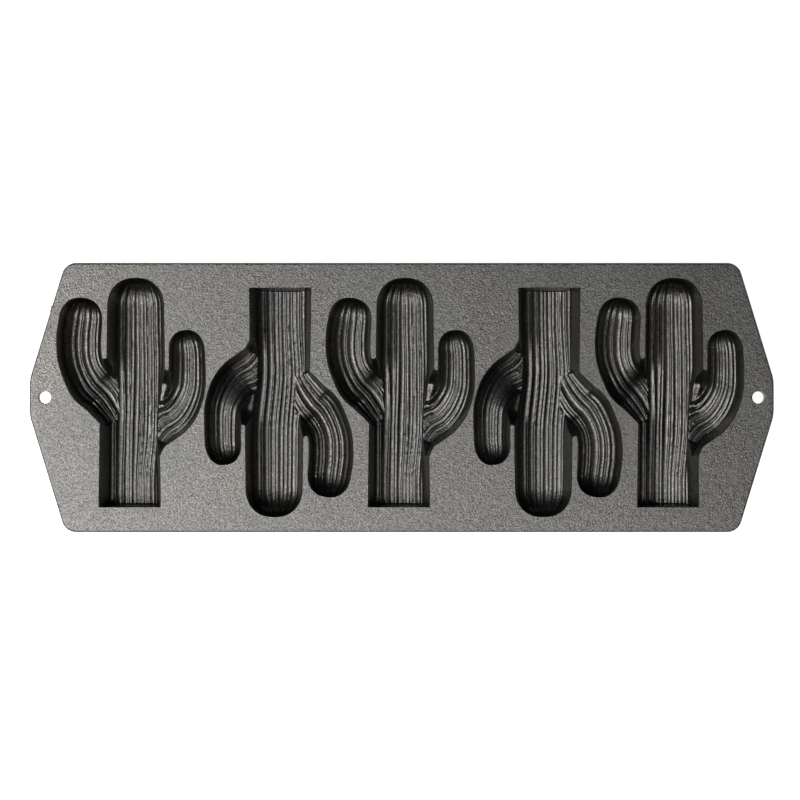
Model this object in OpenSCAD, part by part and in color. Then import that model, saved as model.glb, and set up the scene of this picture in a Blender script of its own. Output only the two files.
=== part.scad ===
// Cast iron baking pan with five fluted cactus cavities, laid head to foot in one row.
// The pan is one casting. Its nodes are the regions that a patternmaker builds up:
// the flat deck, five cups let into the deck, and the drilled end at each side.
// Origin under the middle of the pan, +X along the row, +Y across it, +Z up.

/* [Pan] */
// Thickness of the flat deck
deck_t = 4.5; // [3:0.1:6]
// Distance from the long edge to the foot of a cactus
foot_margin = 13.2; // [11:0.1:16]
// Distance from the other long edge to the tip of a cactus
tip_margin = 8; // [6:0.1:12]
// Distance from the left end to the first cavity
left_margin = 14.6; // [13.5:0.1:20]
// Distance from the last cavity to the right end
right_margin = 16.1; // [13.5:0.1:20]
// How far each end reaches beyond the long edges' sharp corners
end_taper = 19; // [10:0.5:30]
// Length of the short flat at each end
end_flat = 19; // [12:1:30]
// Radius of the corners of the long edges
corner_r = 7.5; // [2:0.5:10]
// Radius where a slanted end edge meets the end flat
end_r = 20; // [5:1:30]

/* [Hanging holes] */
// Diameter of the hole at each end
hole_d = 6.5; // [4:0.1:7]
// Distance from the end of the pan to the hole's centre
hole_inset = 8.3; // [7:0.1:9]
// Width of the deck that is left between a drilled end piece and the nearest cup
tab_gap = 0.6; // [0.3:0.1:1]

/* [Row of cavities] */
// How far the left arms of two neighbours reach past each other
left_nest = 14.2; // [10:0.1:15]
// How far the right arms of two neighbours reach past each other
right_nest = 0.4; // [0:0.1:1]

/* [Cactus trunk] */
// Length of the cactus from its foot to its tip
cactus_length = 121.8; // [110:0.1:140]
// Width of the trunk at its foot
trunk_w = 32.4; // [30:0.1:34]
// Width of the trunk where its round tip starts
tip_w = 29.6; // [27:0.1:31]
// Length of the round tip
tip_length = 15.6; // [12:0.1:18]
// Sideways step of the trunk's centre line on its way up
trunk_lean = 3.2; // [2:0.1:4]
// Depth of the trunk at its deepest flute
trunk_depth = 21; // [18:0.1:24]
// Inward lean of the flat wall at the foot, in degrees
foot_draft = 3; // [1:0.5:6]

/* [Cactus arms] */
// Width of the left arm
left_arm_w = 23.2; // [21:0.1:24]
// Distance from the middle of the foot to the left arm's outer edge
left_arm_reach = 38.6; // [36:0.1:46]
// Height of the left arm's tip above the foot
left_arm_top = 111.2; // [95:0.1:120]
// Depth of the left arm
left_arm_depth = 17; // [14:0.1:18]
// Width of the right arm
right_arm_w = 19.2; // [17:0.1:20]
// Distance from the middle of the foot to the right arm's outer edge
right_arm_reach = 40.1; // [36:0.1:46]
// Height of the right arm's tip above the foot
right_arm_top = 94.1; // [80:0.1:110]
// Depth of the right arm
right_arm_depth = 15; // [13:0.1:17]

/* [Flutes and walls] */
// How far a flute's floor lies below its two ridges
flute_depth = 1; // [0.4:0.1:1.6]
// Wall of a cup beside its cavity
side_wall = 3.8; // [3:0.1:5]
// Wall of a cup below its cavity
floor_wall = 4.4; // [3:0.1:6]
// Width of the cup's rim that shows in the deck
rim_w = 1; // [0.6:0.1:1.2]

/* [Hidden] */
iron = "#3f3f42";
cut_over = 1;

// Heights, with the flat bottoms of the cups on the ground
deck_top = trunk_depth + floor_wall;
deck_bottom = deck_top - deck_t;

// Spacing of two neighbours whose left arms face each other, and of two whose right arms do
left_pitch = 2 * left_arm_reach - left_nest;
right_pitch = 2 * right_arm_reach - right_nest;
// Size of the pan, from what it holds
row_length = left_arm_reach + right_arm_reach + 2 * (left_pitch + right_pitch);
pan_length = left_margin + row_length + right_margin;
pan_width = foot_margin + cactus_length + tip_margin;
edge_length = pan_length - 2 * end_taper;
// Width of a drilled end piece
tab_w = min(left_margin, right_margin) - rim_w - tab_gap;

// Roundness of the round tips and of the outer skin, where 2 would be an ellipse
roundness = 2.2;
// Steepness of the cavities at a round tip, where 1 would let the floor rise with the outline
tip_steepness = 0.6;
// Cross-section of a cavity: share of the half-width that each sloping wall takes up, and the
// rise of the floor towards the walls and the round corner between them as shares of the depth
wall_share = 0.2;
crown_share = 0.18;
corner_share = 0.2;
// How much deeper an arm starts inside the trunk, as a share of its depth, and over how many rows
dip_share = 0.12;
dip_rows = 3;
// How far the cups would bulge below the ground if their feet weren't cut flat
foot_bulge = 0.6;
// Angle at which a round tip is cut off, short of its very end
tip_angle = 86;

// Points around the sections and along the round tips
wall_steps = 3;
flute_steps = 3;
tip_steps = 4;
skin_steps = 5;
// Reach and size of the nose of a skin's hull, as shares of its neighbour
nose_share = 0.3;
nose_size = 0.8;
round_fn = 32;

// Where the trunk's centre line starts and ends its step, as shares of the cactus's length
lean_shares = [0.33, 0.65];
// Heights of the trunk's sections, as shares of the way to its round tip
trunk_row_shares = [0, 0.2, 0.4, 0.55, 0.7, 0.85, 1];
// Ridges across the trunk, as shares of its half-width, each followed up its length
trunk_ridge_shares = [
    [[0, -0.63], [0.37, -0.66], [0.63, -0.80]],
    [[0, -0.39], [0.37, -0.33], [0.63, -0.58]],
    [[0, -0.15], [0.37, -0.14], [0.63, -0.29]],
    [[0, 0.13], [0.37, 0.23], [0.63, 0.07]],
    [[0, 0.36], [0.37, 0.52], [0.63, 0.33]],
    [[0, 0.54], [0.37, 0.70], [0.63, 0.53]],
    [[0, 0.71], [0.37, 0.82], [0.63, 0.72]]
];

// Centre line of each arm from inside the trunk to its round tip: sideways, up and half-width,
// as shares of the way to the arm's middle, of its height and of its half-width
left_arm_shares = [
    [0.24, 0.334, 0.59], [0.285, 0.42, 0.68], [0.393, 0.482, 0.80], [0.606, 0.534, 0.87],
    [0.775, 0.575, 0.91], [0.922, 0.652, 0.94], [0.989, 0.725, 0.98], [0.999, 0.811, 1],
    [0.967, 0.887, 0.97]
];
right_arm_shares = [
    [0.26, 0.27, 0.71], [0.358, 0.362, 0.83], [0.567, 0.442, 0.89], [0.755, 0.496, 0.94],
    [0.868, 0.548, 0.99], [0.969, 0.65, 1], [0.998, 0.761, 1], [0.996, 0.874, 0.97]
];
// Ridges along each arm, as shares of its half-width, from its outer side
left_ridge_shares = [-0.36, -0.06, 0.40, 0.64, 0.82];
right_ridge_shares = [-0.64, -0.41, -0.11, 0.19, 0.47];
// Lean of each arm's round tip towards the trunk, in degrees
arm_tip_lean = 7;

// Scoop that opens each crotch, from the end of the deck's tongue down to the arm's floor: its
// two places as shares of the way to the arm's middle and of the arm's height
left_scoop_shares = [[0.487, 0.693], [0.36, 0.5]];
right_scoop_shares = [[0.643, 0.753], [0.5, 0.5]];
// Width of the scoops at the tongue and at the floor, and their depth there
scoop_top_w = 4.2;
scoop_low_w = 6;
scoop_depth = 13;

// Line that parts two cups: the point it turns about is midway between them
mid_v = pan_width / 2 - foot_margin;
// Its bends between left arms, as shares of their spacing, and its slope between right arms
left_seam_shares = [[0.148, 0.198], [0.178, 0.341]];
right_seam_slope = 0.26;

// Places of the five cavities along the row
first_x = left_margin + left_arm_reach - pan_length / 2;
cup_x = [
    first_x,
    first_x + right_pitch,
    first_x + right_pitch + left_pitch,
    first_x + 2 * right_pitch + left_pitch,
    first_x + 2 * (right_pitch + left_pitch)
];

// Smooth step from 0 to 1
function ease(t) = (1 - cos(180 * min(1, max(0, t)))) / 2;
// Depth of a cavity at a share of its half-width: a sloping wall, a round corner and the floor
function hollow(x) =
    let (
        wall = (1 - abs(x)) / wall_share,
        floor = 1 - crown_share * x * x,
        part = min(1, max(0, (1 + (wall - floor) / corner_share) / 2))
    )
    wall * (1 - part) + floor * part - corner_share * part * (1 - part);
// Point of a round outline, at an angle from its edge
function arc_point(angle) = [pow(cos(angle), 2 / roundness), pow(sin(angle), 2 / roundness)];
function turned(direction) = [direction[1], -direction[0]];
function unit(direction) = direction / norm(direction);

// A section is [centre, direction across, half-width, depth, share of the flutes, ridges].
// The cavity and the cup's outer skin share their centre lines: grow is the wall between them.
tip_start = cactus_length - tip_length;
function trunk_centre(v) = [
    trunk_lean * ease((v / cactus_length - lean_shares[0]) / (lean_shares[1] - lean_shares[0])),
    v
];
function trunk_section(v, size, grow, depth) = [
    trunk_centre(v),
    [1, 0],
    size * ((trunk_w + (tip_w - trunk_w) * min(1, v / tip_start)) / 2 + grow),
    pow(size, tip_steepness) * depth,
    size,
    [for (ridge = trunk_ridge_shares) lookup(v / cactus_length, ridge)]
];
function trunk_sections(grow, depth) = [
    for (share = trunk_row_shares)
        trunk_section(share == 0 ? -grow : share * tip_start, 1, grow, depth),
    for (step = [1 : tip_steps])
        let (p = arc_point(tip_angle * step / tip_steps))
            trunk_section(tip_start + (tip_length + grow) * p[1], p[0], grow, depth)
];

// An arm is worked out on the trunk's left, and the right arm is mirrored afterwards.
function arm_sections(shares, reach, top, width, ridges, grow, depth) =
    let (
        c = [for (s = shares) [-s[0] * (reach - width / 2), s[1] * top]],
        last = len(c) - 1,
        tip_way = [sin(arm_tip_lean), cos(arm_tip_lean)],
        half = shares[last][2] * width / 2 + grow,
        tip = (top - c[last][1]) / cos(arm_tip_lean) + grow
    )
    [
        for (k = [0 : last])
            let (way = k == last ? tip_way : unit(c[min(k + 1, last)] - c[max(k - 1, 0)]))
                [
                    c[k], turned(way), shares[k][2] * width / 2 + grow,
                    depth * (1 + dip_share * max(0, 1 - k / dip_rows)), 1, ridges
                ],
        for (step = [1 : tip_steps])
            let (p = arc_point(tip_angle * step / tip_steps))
                [c[last] + tip_way * tip * p[1], turned(tip_way), half * p[0],
                    depth * pow(p[0], tip_steepness), p[0], ridges]
    ];
function left_arm(grow, depth) = arm_sections(
    left_arm_shares, left_arm_reach, left_arm_top, left_arm_w, left_ridge_shares, grow, depth
);
function right_arm(grow, depth) = arm_sections(
    right_arm_shares, right_arm_reach, right_arm_top, right_arm_w, right_ridge_shares, grow, depth
);
trunk_cavity = trunk_sections(0, trunk_depth - flute_depth);
left_cavity = left_arm(0, left_arm_depth - flute_depth);
right_cavity = right_arm(0, right_arm_depth - flute_depth);
below_deck = floor_wall - deck_t;

// Outline of a section as [share of the half-width, share of the depth, share of a flute]:
// down one wall to the first ridge, across the flutes, and up the other wall
function section_outline(ridges) =
    let (last = len(ridges) - 1)
    [
        for (k = [0 : wall_steps])
            let (x = (1 + ridges[0]) * k / wall_steps - 1) [x, hollow(x), 0],
        for (i = [0 : last - 1], k = [1 : flute_steps])
            let (
                t = k / flute_steps,
                x = ridges[i] + (ridges[i + 1] - ridges[i]) * t
            )
            [x, hollow(x), 4 * t * (1 - t)],
        for (k = [wall_steps - 1 : -1 : 0])
            let (x = 1 - (1 - ridges[last]) * k / wall_steps) [x, hollow(x), 0]
    ];
// Points of a fluted section in space, closed by two points above the deck
function section_points(s, lean) =
    let (
        outline = section_outline(s[5]),
        spot = function (x, depth)
            let (p = s[0] + s[1] * s[2] * x) [p[0], p[1] + depth * lean, deck_top - depth]
    )
    [
        spot(-1, -cut_over),
        for (q = outline) spot(q[0], q[1] * s[3] + q[2] * s[4] * flute_depth),
        spot(1, -cut_over)
    ];

// Solid stretched over rows of points, all with as many points
module loft(rows) {
    n = len(rows[0]);
    last = len(rows) - 1;
    polyhedron(
        points = [for (row = rows) each row],
        faces = [
            [for (i = [n - 1 : -1 : 0]) i],
            [for (i = [0 : n - 1]) last * n + i],
            for (k = [0 : last - 1], i = [0 : n - 1])
                [k * n + i, k * n + (i + 1) % n, (k + 1) * n + (i + 1) % n, (k + 1) * n + i]
        ],
        convexity = 6
    );
}
// Part of a cavity over its sections, the first of which may lean
module fluted(sections, lean) {
    loft([for (k = [0 : len(sections) - 1]) section_points(sections[k], k == 0 ? lean : 0)]);
}

// Hull from the deck's tongue down to the crotch's floor
function scoop_ends(shares, reach, width, top) = [
    for (s = shares) [s[0] * (reach - width / 2), s[1] * top]
];
left_scoop = scoop_ends(left_scoop_shares, -left_arm_reach, -left_arm_w, left_arm_top);
right_scoop = scoop_ends(right_scoop_shares, right_arm_reach, right_arm_w, right_arm_top);
module scoop(ends) {
    hull() {
        translate([ends[0][0], ends[0][1], deck_top])
            cylinder(d = scoop_top_w, h = cut_over, $fn = round_fn / 2);
        translate([ends[1][0], ends[1][1], deck_top - scoop_depth])
            cylinder(d = scoop_low_w, h = scoop_depth + cut_over, $fn = round_fn / 2);
    }
}

// The space that the batter fills
module cavity() {
    fluted(trunk_cavity, tan(foot_draft));
    fluted(left_cavity, 0);
    mirror([1, 0, 0])
        fluted(right_cavity, 0);
    scoop(left_scoop);
    scoop(right_scoop);
}

// The cavity's edge at the deck, seen from above
module plan(sections) {
    polygon(concat(
        [for (s = sections) s[0] - s[1] * s[2]],
        [for (k = [len(sections) - 1 : -1 : 0]) sections[k][0] + sections[k][1] * sections[k][2]]
    ));
}
module scoop_plan(ends) {
    across = turned(unit(ends[0] - ends[1])) / 2;
    polygon([
        ends[0] - across * scoop_top_w, ends[1] - across * scoop_low_w,
        ends[1] + across * scoop_low_w, ends[0] + across * scoop_top_w
    ]);
    translate(ends[0])
        circle(d = scoop_top_w, $fn = round_fn / 2);
}
module cavity_plan() {
    plan(trunk_cavity);
    plan(left_cavity);
    mirror([1, 0])
        plan(right_cavity);
    scoop_plan(left_scoop);
    scoop_plan(right_scoop);
}

// The part of the row that belongs to one cup, up to the lines that part it from its neighbours
module territory() {
    far = pan_length;
    left = [for (s = left_seam_shares) s * left_pitch];
    middle = [-left_pitch / 2, mid_v];
    seam = [for (p = left) middle + [p[0], -p[1]]];
    slope = [right_seam_slope * far, far];
    right = [right_pitch / 2, mid_v];
    polygon([
        [seam[1][0], -far], seam[1], seam[0], 2 * middle - seam[0], 2 * middle - seam[1],
        [2 * middle[0] - seam[1][0], far], right + slope, right - slope
    ]);
}

// Smooth outer skin of one part of a cup, below the deck: a chain of hulls, each of which
// reaches into its neighbours with a smaller nose
function skin_points(s, size) =
    let (
        spot = function (x, depth)
            let (p = s[0] + s[1] * s[2] * size * x) [p[0], p[1], deck_bottom - depth]
    )
    [
        spot(-1, -cut_over),
        for (k = [0 : 2 * skin_steps])
            let (p = arc_point(min(k, 2 * skin_steps - k) * 90 / skin_steps))
                spot(k < skin_steps ? -p[0] : p[0], p[1] * s[3] * size),
        spot(1, -cut_over)
    ];
function nose_points(s, next) = skin_points(s + (next - s) * nose_share, nose_size);
module outer_skin(sections) {
    last = len(sections) - 1;
    for (k = [0 : last - 1])
        hull()
            loft([
                if (k > 0) nose_points(sections[k], sections[k - 1]),
                skin_points(sections[k], 1),
                skin_points(sections[k + 1], 1),
                if (k + 1 < last) nose_points(sections[k + 1], sections[k + 2])
            ]);
}

module cup() {
    color(iron)
        difference() {
            union() {
                translate([0, 0, deck_bottom])
                    linear_extrude(height = deck_t)
                        rim_plan();
                intersection() {
                    union() {
                        outer_skin(trunk_sections(side_wall, trunk_depth + below_deck + foot_bulge));
                        outer_skin(left_arm(side_wall, left_arm_depth + below_deck));
                        mirror([1, 0, 0])
                            outer_skin(right_arm(side_wall, right_arm_depth + below_deck));
                    }
                    linear_extrude(height = deck_bottom)
                        territory();
                }
            }
            cavity();
        }
}
module rim_plan() {
    intersection() {
        offset(delta = rim_w)
            cavity_plan();
        territory();
    }
}

// Puts a cup in its place in the row, every second one turned end for end
module in_row(number) {
    turned_round = number % 2 == 1;
    translate([cup_x[number], turned_round ? mid_v : -mid_v])
        rotate(turned_round ? 180 : 0)
            children();
}

// Outline of the whole pan, from round corners
module pan_plan() {
    slant = atan2((pan_length - edge_length) / 2, (pan_width - end_flat) / 2);
    corner = [
        edge_length / 2 - corner_r * (1 - sin(slant)) / cos(slant),
        pan_width / 2 - corner_r
    ];
    end = [pan_length / 2 - end_r, end_flat / 2 - end_r * tan(slant / 2)];
    hull()
        for (x = [-1, 1], y = [-1, 1]) {
            translate([x * corner[0], y * corner[1]])
                circle(r = corner_r, $fn = round_fn);
            translate([x * end[0], y * end[1]])
                circle(r = end_r, $fn = 4 * round_fn);
        }
}

deck_half = pan_length / 2 - tab_w;
module deck() {
    color(iron)
        translate([0, 0, deck_bottom])
            linear_extrude(height = deck_t)
                difference() {
                    intersection() {
                        pan_plan();
                        square([2 * deck_half, 2 * pan_width], center = true);
                    }
                    for (number = [0 : len(cup_x) - 1])
                        in_row(number)
                            rim_plan();
                }
}

module hang_tab(side) {
    color(iron)
        translate([0, 0, deck_bottom])
            difference() {
                linear_extrude(height = deck_t)
                    intersection() {
                        pan_plan();
                        translate([side * (deck_half + pan_length / 2), 0])
                            square([pan_length, 2 * pan_width], center = true);
                    }
                translate([side * (pan_length / 2 - hole_inset), 0, -cut_over])
                    cylinder(d = hole_d, h = deck_t + 2 * cut_over, $fn = round_fn);
            }
}

deck();
hang_tab(-1);  // left_hang_tab
hang_tab(1);  // right_hang_tab
in_row(0) cup();  // cactus_cup_1
in_row(1) cup();  // cactus_cup_2
in_row(2) cup();  // cactus_cup_3
in_row(3) cup();  // cactus_cup_4
in_row(4) cup();  // cactus_cup_5
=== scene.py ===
import math

import bmesh
import bpy
from mathutils import Matrix, Vector


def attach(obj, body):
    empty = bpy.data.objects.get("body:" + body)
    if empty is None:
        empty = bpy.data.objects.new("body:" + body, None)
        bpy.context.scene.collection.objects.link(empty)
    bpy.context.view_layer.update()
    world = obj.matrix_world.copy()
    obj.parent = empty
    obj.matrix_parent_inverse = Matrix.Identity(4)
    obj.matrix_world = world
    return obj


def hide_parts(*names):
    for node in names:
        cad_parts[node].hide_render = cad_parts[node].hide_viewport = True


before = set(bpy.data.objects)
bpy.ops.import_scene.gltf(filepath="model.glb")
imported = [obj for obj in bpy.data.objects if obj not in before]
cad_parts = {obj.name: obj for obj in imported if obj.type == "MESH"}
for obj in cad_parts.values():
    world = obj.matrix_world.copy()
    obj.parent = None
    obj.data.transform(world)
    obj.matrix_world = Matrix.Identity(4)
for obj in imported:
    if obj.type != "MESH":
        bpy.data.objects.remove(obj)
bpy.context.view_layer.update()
MM = 0.001

# Sizes, in millimetres
PAN_LENGTH, PAN_WIDTH, DECK_T = 395, 143, 4.5
EDGE_LENGTH, END_FLAT, CORNER_R, END_R = 357, 19, 7.5, 20
HOLE_D, HOLE_INSET, TAB_W = 6.5, 8.3, 13
RIGHT_PITCH, LEFT_PITCH, ROW_SHIFT, FOOT_MARGIN = 79.8, 63, 1.5, 13.2
CACTUS_LENGTH, TRUNK_W, TIP_W, TIP_LENGTH, TRUNK_LEAN = 121.8, 32.4, 29.6, 15.6, 3.2
TRUNK_DEPTH, FLOOR_WALL, SIDE_WALL, RIM_W = 21, 4.4, 3.8, 1
FOOT_DRAFT = math.radians(3)
FLUTE_DEPTH = 1.1            # of the deepest channels
WIDE_SLOPE, NARROW_SLOPE = 0.28, 0.4    # depth of a channel as a share of its width
NARROW = 2.0                 # width of a channel below which it is a deep groove
DECK_TOP = TRUNK_DEPTH + FLOOR_WALL
DECK_BOTTOM = DECK_TOP - DECK_T
MID_V = PAN_WIDTH / 2 - FOOT_MARGIN
DECK_HALF = PAN_LENGTH / 2 - TAB_W
ABOVE = 1.5                  # how far the cutters stand above the deck
ROUNDNESS = 2.2              # of the tips and of the cups' outsides; 2 is a circle
WALL_SHARE, CORNER_SHARE = 0.2, 0.2      # of the half-width and of the depth
TRUNK_CROWN = 0.13           # how much the floor rises towards the walls, as a share of the depth
TIP_STEEP = 0.45             # below 1, the floor runs on towards a round tip
CUP_FACES = 185000           # triangles of one cup
CAVITY_VOXEL, SKIN_VOXEL = 0.34, 0.9
LIP_R = 0.5
EDGE_R, HOLE_FLARE = 1.1, 0.45
FOOT_BULGE = 0.6
GRID = 12.07                 # spacing of the lines that part the deck's large faces
SLIVER = 0.004               # shorter edges are taken out of the fine meshes

# Ridges across the trunk as shares of its half-width, each followed up its length. Some run in
# close pairs, which leave a narrow channel between two wide ones.
TRUNK_RIDGES = [
    [(0.09, -0.84), (0.36, -0.86), (0.64, -0.94)],
    [(0.09, -0.62), (0.36, -0.63), (0.64, -0.80)],
    [(0.09, -0.36), (0.36, -0.31), (0.64, -0.565)],
    [(0.09, -0.18), (0.36, -0.17), (0.64, -0.32)],
    [(0.09, -0.09), (0.36, -0.07), (0.64, -0.22)],
    [(0.09, 0.105), (0.36, 0.205), (0.64, 0.04), (0.80, 0.0)],
    [(0.09, 0.20), (0.36, 0.305), (0.64, 0.115), (0.80, 0.09)],
    [(0.09, 0.33), (0.36, 0.51), (0.64, 0.31), (0.80, 0.27)],
    [(0.09, 0.43), (0.36, 0.575), (0.64, 0.385), (0.80, 0.37)],
    [(0.09, 0.565), (0.36, 0.745), (0.64, 0.555), (0.80, 0.52)],
    [(0.09, 0.73), (0.36, 0.84), (0.64, 0.72), (0.80, 0.70)],
]
# The same for the cups that are turned end for end, whose pattern was carved with its own ridges
TURNED_TRUNK_RIDGES = [
    [(0.09, -0.82), (0.64, -0.95)],
    [(0.09, -0.62), (0.64, -0.85)],
    [(0.09, -0.454), (0.64, -0.685)],
    [(0.09, -0.387), (0.64, -0.615)],
    [(0.09, -0.222), (0.64, -0.374)],
    [(0.09, -0.126), (0.64, -0.304)],
    [(0.09, 0.043), (0.64, -0.056)],
    [(0.09, 0.146), (0.64, 0.049)],
    [(0.09, 0.305), (0.64, 0.227)],
    [(0.09, 0.536), (0.64, 0.486)],
    [(0.09, 0.77), (0.64, 0.76)],
]
LEFT_ARM = dict(
    side=-1, width=23.2, reach=38.6, top=111.2, depth=17, dip=0.2, crown=0.25,
    ridges=[-0.64, -0.39, -0.09, 0.34, 0.46, 0.62, 0.80],
    shares=[(0.24, 0.334, 0.59), (0.285, 0.42, 0.70), (0.43, 0.494, 0.90), (0.585, 0.549, 1.01),
            (0.763, 0.595, 1.05), (0.915, 0.659, 0.98), (0.989, 0.725, 0.99), (0.999, 0.811, 1),
            (0.967, 0.887, 0.97)])
RIGHT_ARM = dict(
    side=1, width=19.2, reach=40.1, top=94.1, depth=15, dip=0.2, crown=0.4,
    ridges=[-0.82, -0.67, -0.44, -0.14, 0.02, 0.16, 0.44, 0.76],
    shares=[(0.26, 0.27, 0.71), (0.308, 0.39, 1.12), (0.475, 0.475, 1.30), (0.695, 0.518, 1.22),
            (0.862, 0.582, 1.156), (0.977, 0.67, 1.04), (0.998, 0.761, 1), (0.996, 0.874, 0.97)])
ARM_TIP_LEAN = math.radians(7)
# Gaps between arm and trunk, from the tongue of the deck down to the floor
LEFT_SCOOP = dict(top=Vector((-13.3, 79.0)), low=Vector((-9.5, 62)), top_w=3.6, low_w=8, depth=15)
RIGHT_SCOOP = dict(top=Vector((19.6, 73.0)), low=Vector((14.5, 57)), top_w=3.6, low_w=12, depth=15)
# Where the iron between trunk and arm is worn down to a smooth web: middle and radius
CROTCHES = [(Vector((-11, 70, DECK_TOP - 9)), 7), (Vector((16.5, 63, DECK_TOP - 8)), 8)]
CUP_X = [-ROW_SHIFT - LEFT_PITCH - RIGHT_PITCH, -ROW_SHIFT - LEFT_PITCH, -ROW_SHIFT,
         -ROW_SHIFT + RIGHT_PITCH, -ROW_SHIFT + RIGHT_PITCH + LEFT_PITCH]


# Meshes
def tool(name, mesh_or_bm):
    """Object from a bmesh, linked so that modifiers can work on it."""
    mesh = bpy.data.meshes.new(name)
    mesh_or_bm.to_mesh(mesh)
    mesh_or_bm.free()
    obj = bpy.data.objects.new(name, mesh)
    bpy.context.scene.collection.objects.link(obj)
    return obj


def shaped(obj, kind, **settings):
    """Puts one modifier on an object and applies it."""
    mod = obj.modifiers.new(kind, kind)
    for key, value in settings.items():
        setattr(mod, key, value)
    bpy.context.view_layer.update()
    graph = bpy.context.evaluated_depsgraph_get()
    mesh = bpy.data.meshes.new_from_object(obj.evaluated_get(graph))
    obj.modifiers.clear()
    old = obj.data
    obj.data = mesh
    bpy.data.meshes.remove(old)
    return obj


def discard(*objects):
    """Removes objects with their meshes."""
    for obj in objects:
        mesh = obj.data
        bpy.data.objects.remove(obj)
        bpy.data.meshes.remove(mesh)


def cut(obj, cutter, operation="DIFFERENCE"):
    """Cuts one solid with another, or joins or intersects them."""
    return shaped(obj, "BOOLEAN", operation=operation, object=cutter, solver="MANIFOLD")


def prism(name, outline, low, high):
    """Straight solid over an outline of (x, y) points."""
    bm = bmesh.new()
    face = bm.faces.new([bm.verts.new((x * MM, y * MM, low * MM)) for x, y in outline])
    up = bmesh.ops.extrude_face_region(bm, geom=[face])["geom"]
    bmesh.ops.translate(bm, vec=(0, 0, (high - low) * MM),
                        verts=[g for g in up if isinstance(g, bmesh.types.BMVert)])
    bmesh.ops.recalc_face_normals(bm, faces=bm.faces)
    return tool(name, bm)


def loft(bm, rows):
    """Closed tube through rows of points, all with as many points."""
    around = len(rows[0])
    made = bmesh.ops.create_grid(bm, x_segments=around, y_segments=len(rows) - 1, size=1)["verts"]
    for i, vert in enumerate(made):
        row, col = divmod(i, around + 1)
        vert.co = Vector(rows[row][col % around]) * MM
    bmesh.ops.remove_doubles(bm, verts=made, dist=1e-7)
    bmesh.ops.holes_fill(bm, edges=[e for e in bm.edges if e.is_boundary], sides=0)


# The cactus's sections
def lookup(value, table):
    """Value from a table of (place, value), eased from row to row."""
    if value <= table[0][0]:
        return table[0][1]
    for (a, x), (b, y) in zip(table, table[1:]):
        if value <= b:
            t = (value - a) / (b - a)
            return x + (y - x) * t * t * (3 - 2 * t)
    return table[-1][1]


def arc_point(angle):
    """Point on the rounded outline that the tips and the cups' outsides follow."""
    return math.cos(angle) ** (2 / ROUNDNESS), math.sin(angle) ** (2 / ROUNDNESS)


def hollow(x, crown):
    """Depth of a cavity at a share of its half-width: a sloping wall, a round corner, the floor."""
    wall = (1 - abs(x)) / WALL_SHARE
    floor = 1 - crown * x * x
    part = min(1, max(0, (1 + (wall - floor) / CORNER_SHARE) / 2))
    return wall * (1 - part) + floor * part - CORNER_SHARE * part * (1 - part)


def trunk_sections(grow, depth, ridge_table=TRUNK_RIDGES, rows=70, tip_rows=22):
    """Each section is centre, direction across, half-width, depth, flute share, ridges, crown."""
    out = []
    start = CACTUS_LENGTH - TIP_LENGTH

    def add(v, size, d):
        t = min(1, max(0, (v / CACTUS_LENGTH - 0.33) / 0.32))
        u = TRUNK_LEAN * (1 - math.cos(math.pi * t)) / 2
        half = (TRUNK_W + (TIP_W - TRUNK_W) * min(1, v / start)) / 2 + grow
        ridges = [lookup(v / CACTUS_LENGTH, r) for r in ridge_table]
        out.append((Vector((u, v)), Vector((1, 0)), size * half, size ** TIP_STEEP * d, size,
                    ridges, TRUNK_CROWN))

    for k in range(rows + 1):
        add(-grow + (start + grow) * k / rows, 1, depth)
    for k in range(1, tip_rows + 1):
        x, y = arc_point(math.radians(88) * k / tip_rows)
        add(start + (TIP_LENGTH + grow) * y, x, depth)
    return out


def smooth_line(points, steps):
    """Catmull-Rom line through points of any dimension, with its directions."""
    out = []
    pts = [2 * points[0] - points[1]] + points + [2 * points[-1] - points[-2]]
    for i in range(1, len(pts) - 2):
        a, b, c, d = pts[i - 1:i + 3]
        for k in range(steps + (i == len(pts) - 3)):
            t = k / steps
            p = 0.5 * (2 * b + (c - a) * t + (2 * a - 5 * b + 4 * c - d) * t ** 2
                       + (3 * b - a - 3 * c + d) * t ** 3)
            q = 0.5 * ((c - a) + 2 * (2 * a - 5 * b + 4 * c - d) * t
                       + 3 * (3 * b - a - 3 * c + d) * t ** 2)
            out.append((p, q))
    return out


def arm_sections(arm, grow, depth, steps=8, tip_rows=20):
    """The same for an arm, whose floor is flat and deeper at its root on the trunk."""
    side, width, top = arm["side"], arm["width"], arm["top"]
    reach = arm["reach"] - width / 2
    pts = [Vector((side * s[0] * reach, s[1] * top, s[2] * width / 2)) for s in arm["shares"]]
    tip_way = Vector((-side * math.sin(ARM_TIP_LEAN), math.cos(ARM_TIP_LEAN)))
    out = []
    line = smooth_line(pts, steps)
    for i, (p, q) in enumerate(line):
        way = Vector((q.x, q.y)).normalized()
        blend = max(0, 1 - (len(line) - 1 - i) / steps)
        way = way.lerp(tip_way, blend).normalized()
        across = Vector((way.y, -way.x)) * -side
        root = min(1, max(0, 2 - i / (2.5 * steps)))
        root *= root * (3 - 2 * root)
        start = min(1, 0.6 + 0.4 * i / steps)
        out.append((p.xy, across, p.z + grow, depth * (1 + arm["dip"] * root) * start, 1,
                    arm["ridges"], arm["crown"] * (1 - root)))
    end = pts[-1]
    length = (top - end.y) / math.cos(ARM_TIP_LEAN) + grow
    across = Vector((tip_way.y, -tip_way.x)) * -side
    for k in range(1, tip_rows + 1):
        x, y = arc_point(math.radians(88) * k / tip_rows)
        out.append((end.xy + tip_way * length * y, across, (end.z + grow) * x,
                    depth * x ** TIP_STEEP, x, arm["ridges"], arm["crown"]))
    return out


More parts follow.
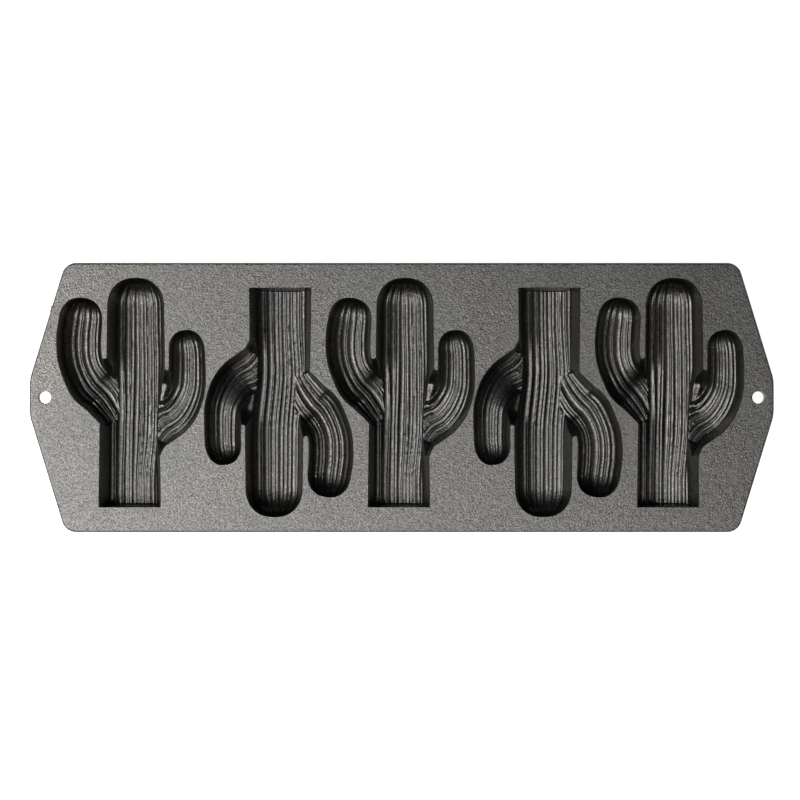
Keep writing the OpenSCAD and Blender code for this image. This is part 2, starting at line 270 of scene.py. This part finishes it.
def fluted_outline(ridges, half, crown, wall_steps=14, flute_steps=8):
    """Share of the half-width, share of the depth and share of a flute, along one section."""
    out = []
    for k in range(wall_steps + 1):
        x = (1 + ridges[0]) * k / wall_steps - 1
        out.append((x, hollow(x, crown), 0))
    for a, b in zip(ridges, ridges[1:]):
        width = (b - a) * half
        deep = min(1, width * (NARROW_SLOPE if width < NARROW else WIDE_SLOPE) / FLUTE_DEPTH)
        for k in range(1, flute_steps + 1):
            t = k / flute_steps
            x = a + (b - a) * t
            out.append((x, hollow(x, crown), deep * (4 * t * (1 - t)) ** 0.8))
    for k in range(wall_steps - 1, -1, -1):
        x = 1 - (1 - ridges[-1]) * k / wall_steps
        out.append((x, hollow(x, crown), 0))
    return out


def fluted_rows(sections, lean=0.0):
    """Rows of points of a cavity, with its lip rounded and a lid above the deck."""
    rows = []
    for n, (centre, across, half, depth, flute, ridges, crown) in enumerate(sections):
        def spot(x, d):
            p = centre + across * x
            return p.x, p.y + (d * lean if n == 0 else 0), DECK_TOP - d
        row = [spot(-half - LIP_R, -ABOVE), spot(-half - LIP_R, -0.02)]
        row += [spot(-half - LIP_R * 0.3, LIP_R * 0.3)]
        for x, y, f in fluted_outline(ridges, half, crown):
            row.append(spot(x * half, y * depth + f * flute * FLUTE_DEPTH))
        row += [spot(half + LIP_R * 0.3, LIP_R * 0.3)]
        row += [spot(half + LIP_R, -0.02), spot(half + LIP_R, -ABOVE)]
        rows.append(row)
    return rows


def skin_rows(sections, steps=24, flare=3.0):
    """Rows of points of a cup's outside, flared where it runs into the deck."""
    rows = []
    for centre, across, half, depth, *_ in sections:
        def spot(x, d):
            p = centre + across * x
            return p.x, p.y, DECK_BOTTOM - d
        def side(sign):
            out = [spot(sign * (half + flare), -ABOVE), spot(sign * (half + flare), 0)]
            for k in range(1, 6):
                a = math.radians(90) * k / 6
                out.append(spot(sign * (half + flare * (1 - math.sin(a))),
                                min(depth, flare) * (1 - math.cos(a))))
            return out
        row = side(-1)
        for k in range(2 * steps + 1):
            x, y = arc_point(min(k, 2 * steps - k) * math.pi / 2 / steps)
            d = y * depth
            if d > min(depth, flare) * 0.9:
                row.append(spot((-x if k < steps else x) * half, d))
            else:
                row.append(spot((-x if k < steps else x) * half, min(depth, flare) * 0.9))
        row += side(1)[::-1]
        rows.append(row)
    return rows


def scoop_rows(top, low, top_w, low_w, depth):
    """Rounded gap that opens a crotch, from the end of the deck's tongue to the floor."""
    rows = []
    way = (low - top).normalized()
    across = Vector((way.y, -way.x))
    for k in range(13):
        t = k / 12
        c = top.lerp(low, t)
        part = min(1, 2 * t)
        half = (top_w + (low_w - top_w) * part) / 2
        d = depth * math.sin(part * math.pi / 2)
        row = []
        for a in range(25):
            x, y = arc_point(min(a, 24 - a) * math.pi / 24)
            p = c + across * (-x if a < 12 else x) * half
            row.append((p.x, p.y, DECK_TOP - y * d - 0.01))
        a, b = row[0], row[-1]
        rows.append([(a[0], a[1], DECK_TOP + ABOVE)] + row + [(b[0], b[1], DECK_TOP + ABOVE)])
    return rows


def cavity(ridge_table):
    """The space that the batter fills, fused from its parts into one smooth skin."""
    trunk = trunk_sections(0, TRUNK_DEPTH - FLUTE_DEPTH, ridge_table)
    obj = joined("cavity", [
        fluted_rows(trunk, math.tan(FOOT_DRAFT)),
        fluted_rows(arm_sections(LEFT_ARM, 0, LEFT_ARM["depth"] - FLUTE_DEPTH)),
        fluted_rows(arm_sections(RIGHT_ARM, 0, RIGHT_ARM["depth"] - FLUTE_DEPTH)),
        scoop_rows(**LEFT_SCOOP),
        scoop_rows(**RIGHT_SCOOP)])
    shaped(obj, "REMESH", mode="VOXEL", voxel_size=CAVITY_VOXEL * MM)
    for middle, radius in CROTCHES:
        bm = bmesh.new()
        bm.from_mesh(obj.data)
        for share in (1, 0.9, 0.8, 0.7):
            near = [v for v in bm.verts if (v.co / MM - middle).length < radius * share]
            for _ in range(12):
                bmesh.ops.smooth_vert(bm, verts=near, factor=0.5, use_axis_x=True,
                                      use_axis_y=True, use_axis_z=True)
        bm.to_mesh(obj.data)
        bm.free()
    return obj


def softened(obj, times, factor=0.5):
    """Smooths a whole mesh, which rounds its edges a little."""
    bm = bmesh.new()
    bm.from_mesh(obj.data)
    for _ in range(times):
        bmesh.ops.smooth_vert(bm, verts=bm.verts, factor=factor,
                              use_axis_x=True, use_axis_y=True, use_axis_z=True)
    bm.to_mesh(obj.data)
    bm.free()
    return obj


def joined(name, row_sets):
    """One mesh of several closed tubes."""
    whole = bmesh.new()
    for rows in row_sets:
        bm = bmesh.new()
        loft(bm, rows)
        bmesh.ops.recalc_face_normals(bm, faces=bm.faces)
        mesh = bpy.data.meshes.new("tube")
        bm.to_mesh(mesh)
        bm.free()
        whole.from_mesh(mesh)
        bpy.data.meshes.remove(mesh)
    return tool(name, whole)


def plan(sections):
    """Outline seen from above."""
    return ([tuple(s[0] - s[1] * s[2]) for s in sections]
            + [tuple(s[0] + s[1] * s[2]) for s in sections[::-1]])


def rim():
    """Solid that fills the deck's hole round one cavity, up to the rim's outer edge."""
    trunk = prism("rim", plan(trunk_sections(RIM_W, 1)), DECK_BOTTOM, DECK_TOP)
    pieces = [prism("arm", plan(arm_sections(arm, RIM_W, 1)), DECK_BOTTOM, DECK_TOP)
              for arm in (LEFT_ARM, RIGHT_ARM)]
    for top, low in ((scoop["top"], scoop["low"]) for scoop in (LEFT_SCOOP, RIGHT_SCOOP)):
        pieces.append(prism("crotch", [
            (top.x - 3, top.y), (low.x - 4, low.y), (low.x + 4, low.y), (top.x + 3, top.y)],
            DECK_BOTTOM, DECK_TOP))
    for piece in pieces:
        cut(trunk, piece, "UNION")
        discard(piece)
    return trunk


def territory():
    """Ground that belongs to one cup, up to the lines that part it from its neighbours."""
    far, mid = PAN_LENGTH / 2, Vector((-LEFT_PITCH / 2, MID_V))
    seam = [mid + Vector((x * LEFT_PITCH, -y * LEFT_PITCH))
            for x, y in ((0.148, 0.198), (0.178, 0.341))]
    right = Vector((RIGHT_PITCH / 2, MID_V))
    slope = Vector((0.26 * far, far))
    return [(seam[1].x, -far), seam[1], seam[0], 2 * mid - seam[0], 2 * mid - seam[1],
            (2 * mid.x - seam[1].x, far), right + slope, right - slope]


def cup(ridge_table):
    """One cup in its own place, foot on the origin: rim, walls and floor round its cavity."""
    below = FLOOR_WALL - DECK_T
    body = joined("cup", [
        skin_rows(trunk_sections(SIDE_WALL, TRUNK_DEPTH + below + FOOT_BULGE)),
        skin_rows(arm_sections(LEFT_ARM, SIDE_WALL, LEFT_ARM["depth"] + below)),
        skin_rows(arm_sections(RIGHT_ARM, SIDE_WALL, RIGHT_ARM["depth"] + below))])
    shaped(body, "REMESH", mode="VOXEL", voxel_size=SKIN_VOXEL * MM)
    softened(body, 4)
    ground = prism("ground", territory(), 0, DECK_BOTTOM + 0.8)
    flange = rim()
    hollow = cavity(ridge_table)
    softened(hollow, 1, 0.3)
    cut(body, ground, "INTERSECT")
    cut(body, flange, "UNION")
    cut(body, hollow)
    discard(ground, flange, hollow)
    faces = sum(len(f.vertices) - 2 for f in body.data.polygons)
    shaped(body, "DECIMATE", ratio=min(1, CUP_FACES / faces))
    return body


def pan_plate():
    """The flat deck's blank: its corners and then its edges rounded, before it is cut up."""
    bm = bmesh.new()
    half = [(EDGE_LENGTH / 2, PAN_WIDTH / 2), (PAN_LENGTH / 2, END_FLAT / 2)]
    ring = [half[0], half[1], (half[1][0], -half[1][1]), (half[0][0], -half[0][1])]
    ring += [(-x, y) for x, y in ring[::-1]]
    verts = [bm.verts.new((x * MM, y * MM, DECK_BOTTOM * MM)) for x, y in ring]
    bm.faces.new(verts)
    slant = math.atan2((PAN_LENGTH - EDGE_LENGTH) / 2, (PAN_WIDTH - END_FLAT) / 2)
    for wide, r in ((True, CORNER_R), (False, END_R)):
        picked = [v for v in bm.verts if (abs(v.co.y) > 0.06) == wide]
        inner = math.pi / 2 + slant if wide else math.pi - slant
        bmesh.ops.bevel(bm, geom=picked, offset=r * MM / math.tan(inner / 2), offset_type="OFFSET",
                        affect="VERTICES", segments=10, profile=0.5, material=-1)
    up = bmesh.ops.extrude_face_region(bm, geom=bm.faces[:])["geom"]
    bmesh.ops.translate(bm, vec=(0, 0, DECK_T * MM),
                        verts=[g for g in up if isinstance(g, bmesh.types.BMVert)])
    bmesh.ops.recalc_face_normals(bm, faces=bm.faces)
    edges = [e for e in bm.edges if abs(e.verts[0].co.z - e.verts[1].co.z) < 1e-6]
    bmesh.ops.bevel(bm, geom=edges, offset=EDGE_R * MM, offset_type="OFFSET", affect="EDGES",
                    segments=5, profile=0.5, material=-1, clamp_overlap=True)
    # A grid of lines, so that every flat face keeps a small and simple outline when it is cut
    lines = [((x * GRID * MM, 0, 0), (1, 0, 0)) for x in range(-16, 17)]
    lines += [((0, y * GRID * MM, 0), (0, 1, 0)) for y in range(-5, 6)]
    for place, way in lines:
        bmesh.ops.bisect_plane(bm, geom=bm.verts[:] + bm.edges[:] + bm.faces[:], dist=1e-6,
                               plane_co=place, plane_no=way)
    return tool("plate", bm)


def block(name, low, high):
    """Box between two corners."""
    return prism(name, [(low[0], low[1]), (high[0], low[1]), (high[0], high[1]),
                        (low[0], high[1])], low[2], high[2])


def hole_tool(x):
    """Turned cutter for a hanging hole, flared a little at both faces of the deck."""
    bm = bmesh.new()
    r, e = HOLE_D / 2, HOLE_FLARE
    profile = [(0, DECK_TOP + 1), (r + 2 * e, DECK_TOP + 1), (r + e, DECK_TOP),
               (r + e * 0.3, DECK_TOP - e * 0.3), (r, DECK_TOP - e), (r, DECK_BOTTOM + e),
               (r + e * 0.3, DECK_BOTTOM + e * 0.3), (r + e, DECK_BOTTOM),
               (r + 2 * e, DECK_BOTTOM - 1), (0, DECK_BOTTOM - 1)]
    verts = [bm.verts.new(((x + a) * MM, 0, z * MM)) for a, z in profile]
    edges = [bm.edges.new(pair) for pair in zip(verts, verts[1:])]
    bmesh.ops.spin(bm, geom=verts + edges, cent=(x * MM, 0, 0), axis=(0, 0, 1),
                   angle=2 * math.pi, steps=72, use_merge=True)
    bmesh.ops.remove_doubles(bm, verts=bm.verts, dist=1e-6)
    bmesh.ops.recalc_face_normals(bm, faces=bm.faces)
    return tool("hole_tool", bm)


def copy_of(obj, name):
    """Copy of an object and its mesh."""
    new = obj.copy()
    new.data = obj.data.copy()
    new.name = new.data.name = name
    bpy.context.scene.collection.objects.link(new)
    return new


def set_in_row(obj, number):
    """Turns a mesh to its cup's place in the row, every second one end for end."""
    turn = Matrix.Rotation(math.pi, 4, "Z") if number % 2 else Matrix()
    y = MID_V if number % 2 else -MID_V
    obj.data.transform(Matrix.Translation(Vector((CUP_X[number], y, 0)) * MM) @ turn)


def finished(obj, fine, angle=40):
    """Cleans a piece's faces and sets its shading; the cups' meshes are the fine ones."""
    bm = bmesh.new()
    bm.from_mesh(obj.data)
    if fine:
        bmesh.ops.dissolve_degenerate(bm, dist=SLIVER * MM, edges=bm.edges)
    else:
        bmesh.ops.triangulate(bm, faces=bm.faces, quad_method="BEAUTY", ngon_method="BEAUTY")
    bm.to_mesh(obj.data)
    bm.free()
    for face in obj.data.polygons:
        face.use_smooth = True
    obj.data.set_sharp_from_angle(angle=math.radians(angle))
    return shaped(obj, "WEIGHTED_NORMAL", mode="FACE_AREA", weight=50, keep_sharp=True)


# The casting, region by region
patterns = [cup(TRUNK_RIDGES), cup(TURNED_TRUNK_RIDGES)]
flange = rim()
plate = pan_plate()
tabs = {}
for side, name in ((-1, "left_hang_tab"), (1, "right_hang_tab")):
    tab = copy_of(plate, name + "_iron")
    near, far = sorted((side * DECK_HALF, side * PAN_LENGTH))
    keep = block("keep", (near, -PAN_WIDTH, DECK_BOTTOM - 2), (far, PAN_WIDTH, DECK_TOP + 2))
    hole = hole_tool(side * (PAN_LENGTH / 2 - HOLE_INSET))
    cut(tab, keep, "INTERSECT")
    cut(tab, hole)
    discard(keep, hole)
    tabs[name] = tab
deck = plate
deck.name = deck.data.name = "deck_iron"
keep = block("keep", (-DECK_HALF, -PAN_WIDTH, DECK_BOTTOM - 2),
             (DECK_HALF, PAN_WIDTH, DECK_TOP + 2))
cut(deck, keep, "INTERSECT")
discard(keep)
cups = []
for number in range(5):
    hole = copy_of(flange, "cup_hole")
    middle = Vector((0, 0, (DECK_BOTTOM + DECK_T / 2) * MM))
    hole.data.transform(Matrix.Translation(middle) @ Matrix.Diagonal((1, 1, 2, 1))
                        @ Matrix.Translation(-middle))
    set_in_row(hole, number)
    cut(deck, hole)
    discard(hole)
    piece = copy_of(patterns[number % 2], "cactus_cup_%d_iron" % (number + 1))
    set_in_row(piece, number)
    cups.append(piece)
discard(*patterns, flange)


# Material
GRAIN_HEIGHT = 0.2           # millimetres from the skin's hollows to its grains
LIP_DEPTH = 1                # how far the deck's look reaches down into the cavities


def linear(hex_code):
    """Linear colour of an sRGB hex value."""
    out = []
    for i in (0, 2, 4):
        c = int(hex_code[i:i + 2], 16) / 255
        out.append(c / 12.92 if c <= 0.04045 else ((c + 0.055) / 1.055) ** 2.4)
    return (*out, 1)


def node(tree, kind, settings=None, links=None):
    """Adds a node; settings are its properties or its inputs' values, links its inputs' sources."""
    new = tree.nodes.new(kind)
    for key, value in (settings or {}).items():
        if isinstance(key, str) and hasattr(new, key):
            setattr(new, key, value)
        else:
            new.inputs[key].default_value = value
    for key, source in (links or {}).items():
        tree.links.new(source, new.inputs[key])
    return new


def seasoned_cast_iron():
    """Sand-cast grey iron, oiled and baked: a black skin that shows the sand's fine grain and
    shines softly on everything that faces up."""
    mat = bpy.data.materials.new("seasoned_cast_iron")
    mat.use_nodes = True
    t = mat.node_tree
    t.nodes.clear()
    place = node(t, "ShaderNodeTexCoord").outputs["Object"]
    height = node(t, "ShaderNodeSeparateXYZ", None, {"Vector": place}).outputs["Z"]

    def noise(size, detail, roughness):
        """Grains, lumps or patches of about a size in millimetres."""
        return node(t, "ShaderNodeTexNoise", {
            "Scale": 1 / (size * MM), "Detail": detail, "Roughness": roughness},
            {"Vector": place}).outputs["Fac"]

    def spread(source, low, high, start=0.3, end=0.7):
        """Source's values from start to end, stretched from low to high."""
        return node(t, "ShaderNodeMapRange", {
            "From Min": start, "From Max": end, "To Min": low, "To Max": high},
            {"Value": source}).outputs["Result"]

    def below_deck(share, depth):
        """1 on the deck and a smaller share from a depth in millimetres downwards."""
        return spread(height, share, 1, (DECK_TOP - depth) * MM, (DECK_TOP - LIP_DEPTH) * MM)

    def ramp(source, low, high, low_at, high_at):
        """Colours between two hex values."""
        new = node(t, "ShaderNodeValToRGB", None, {"Fac": source})
        for stop, at, code in zip(new.color_ramp.elements, (low_at, high_at), (low, high)):
            stop.position, stop.color = at, linear(code)
        return new.outputs["Color"]

    # The sand's grains, clumps of them, and oil that pooled and baked unevenly
    grain = noise(0.9, 3, 0.6)
    clumps = noise(2.8, 2, 0.5)
    patches = noise(30, 3, 0.55)
    some_clumps = node(t, "ShaderNodeMath", {"operation": "MULTIPLY", 1: 0.3}, {0: clumps})
    mixed = node(t, "ShaderNodeMath", {"operation": "MULTIPLY_ADD", 1: 0.7},
                 {0: spread(grain, 0, 1), 2: some_clumps.outputs[0]}).outputs[0]
    tinted = node(t, "ShaderNodeMix", {"data_type": "RGBA", "blend_type": "MULTIPLY"})
    tinted.inputs["Factor"].default_value = 1.0
    t.links.new(ramp(mixed, "4e4d4c", "868583", 0.15, 0.85), tinted.inputs["A"])
    t.links.new(ramp(patches, "f7f5f1", "ffffff", 0.35, 0.65), tinted.inputs["B"])
    # Painted shade: the cavities' colour is darkened from the deck downwards, to 0.68 at 6 mm deep,
    # as shade falls in the recesses. Their oil bakes smoother than on the deck, which is wiped, and
    # their sand is finer, as the patterns packed it
    painted_recess_shade = node(t, "ShaderNodeVectorMath", {"operation": "SCALE"},
                  {"Vector": tinted.outputs["Result"], "Scale": below_deck(0.68, 6)})
    rough = node(t, "ShaderNodeMath", {"operation": "MULTIPLY"},
                 {0: spread(patches, 0.36, 0.46), 1: below_deck(0.88, 6)})
    sand = node(t, "ShaderNodeBump", {"Distance": GRAIN_HEIGHT * MM},
                {"Height": grain, "Strength": below_deck(0.4, 4)})
    lumps = node(t, "ShaderNodeBump", {"Strength": 0.5, "Distance": GRAIN_HEIGHT * MM},
                 {"Height": clumps, "Normal": sand.outputs["Normal"]})
    skin = node(t, "ShaderNodeBsdfPrincipled", {"Metallic": 1.0},
                {"Base Color": painted_recess_shade.outputs["Vector"], "Roughness": rough.outputs[0],
                 "Normal": lumps.outputs["Normal"]})
    node(t, "ShaderNodeOutputMaterial", None, {"Surface": skin.outputs["BSDF"]})
    return mat


iron = seasoned_cast_iron()
for piece, cad_node in [(deck, "deck")] + [(tab, name) for name, tab in tabs.items()] + [
        (piece, "cactus_cup_%d" % (n + 1)) for n, piece in enumerate(cups)]:
    finished(piece, piece in cups)
    piece.data.materials.clear()
    piece.data.materials.append(iron)
    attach(piece, "root")
    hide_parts(cad_node)


# Camera, floor and light, in metres
CAMERA_ABOVE = 1.2           # from the deck to the lens, as the deep tips' shift shows
VIEW_WIDTH = 0.42422         # of the deck across the photograph
SENSOR = 36
camera = bpy.data.cameras.new("camera")
camera.sensor_width = SENSOR
camera.lens = SENSOR * CAMERA_ABOVE / VIEW_WIDTH
camera.clip_start, camera.clip_end = 0.05, 20
camera_obj = bpy.data.objects.new("camera", camera)
camera_obj.location = (-0.00093, -0.00133, DECK_TOP * MM + CAMERA_ABOVE)
bpy.context.scene.collection.objects.link(camera_obj)
bpy.context.scene.camera = camera_obj


def seen(tree):
    """1 for the rays that show the background itself or a mirror image of it."""
    path = node(tree, "ShaderNodeLightPath")
    mirrored = node(tree, "ShaderNodeMath", {"operation": "MAXIMUM"}, {
        0: path.outputs["Is Glossy Ray"], 1: path.outputs["Is Transmission Ray"]})
    return node(tree, "ShaderNodeMath", {"operation": "MAXIMUM"}, {
        0: path.outputs["Is Camera Ray"], 1: mirrored.outputs[0]}).outputs[0]


def white_paper():
    """Paper that is white to the camera and in mirror images, but still takes a shadow."""
    mat = bpy.data.materials.new("white_paper")
    mat.use_nodes = True
    t = mat.node_tree
    t.nodes.clear()
    paper = node(t, "ShaderNodeBsdfDiffuse", {"Color": linear("e8e8e8")})
    shine = node(t, "ShaderNodeMath", {"operation": "MULTIPLY", 1: 0.95}, {0: seen(t)})
    glow = node(t, "ShaderNodeEmission", {"Color": (1, 1, 1, 1)}, {"Strength": shine.outputs[0]})
    both = node(t, "ShaderNodeAddShader", None, {0: paper.outputs[0], 1: glow.outputs[0]})
    node(t, "ShaderNodeOutputMaterial", None, {"Surface": both.outputs[0]})
    return mat


# One sheet of paper: a round floor whose rim is bent up into a backdrop
SHEET_R, SHEET_H, BEND_R = 3.2, 0.7, 0.5
bm = bmesh.new()
profile = [(0, 0), (SHEET_R - BEND_R, 0)]
profile += [(SHEET_R - BEND_R * (1 - math.sin(math.radians(a))),
             BEND_R * (1 - math.cos(math.radians(a)))) for a in range(10, 91, 10)]
profile += [(SHEET_R, SHEET_H)]
verts = [bm.verts.new((x, 0, z)) for x, z in profile]
edges = [bm.edges.new(pair) for pair in zip(verts, verts[1:])]
bmesh.ops.spin(bm, geom=verts + edges, cent=(0, 0, 0), axis=(0, 0, 1), angle=2 * math.pi,
               steps=64, use_merge=True)
bmesh.ops.remove_doubles(bm, verts=bm.verts, dist=1e-6)
bmesh.ops.recalc_face_normals(bm, faces=bm.faces)
sheet = tool("sheet", bm)
sheet.data.materials.append(white_paper())

world = bpy.data.worlds.new("studio")
bpy.context.scene.world = world
world.use_nodes = True
world.node_tree.nodes.clear()
dim = node(world.node_tree, "ShaderNodeBackground", {"Color": (1, 1, 1, 1), "Strength": 0.002})
node(world.node_tree, "ShaderNodeOutputWorld", None, {"Surface": dim.outputs[0]})


def softbox(name, place, aim, size, power):
    light = bpy.data.lights.new(name, "AREA")
    light.shape = "RECTANGLE"
    light.size, light.size_y = size
    light.energy = power
    obj = bpy.data.objects.new(name, light)
    obj.location = place
    obj.rotation_euler = (Vector(aim) - Vector(place)).to_track_quat("-Z", "Y").to_euler()
    bpy.context.scene.collection.objects.link(obj)
    return obj


softbox("overhead_softbox", (-0.74, -0.17, 1.35), (0, 0, 0), (0.92, 0.42), 14.8)
softbox("right_fill", (0.08, -0.42, 1.42), (0, 0, 0), (0.5, 0.4), 5.6)

scene = bpy.context.scene
scene.view_settings.view_transform = "Standard"
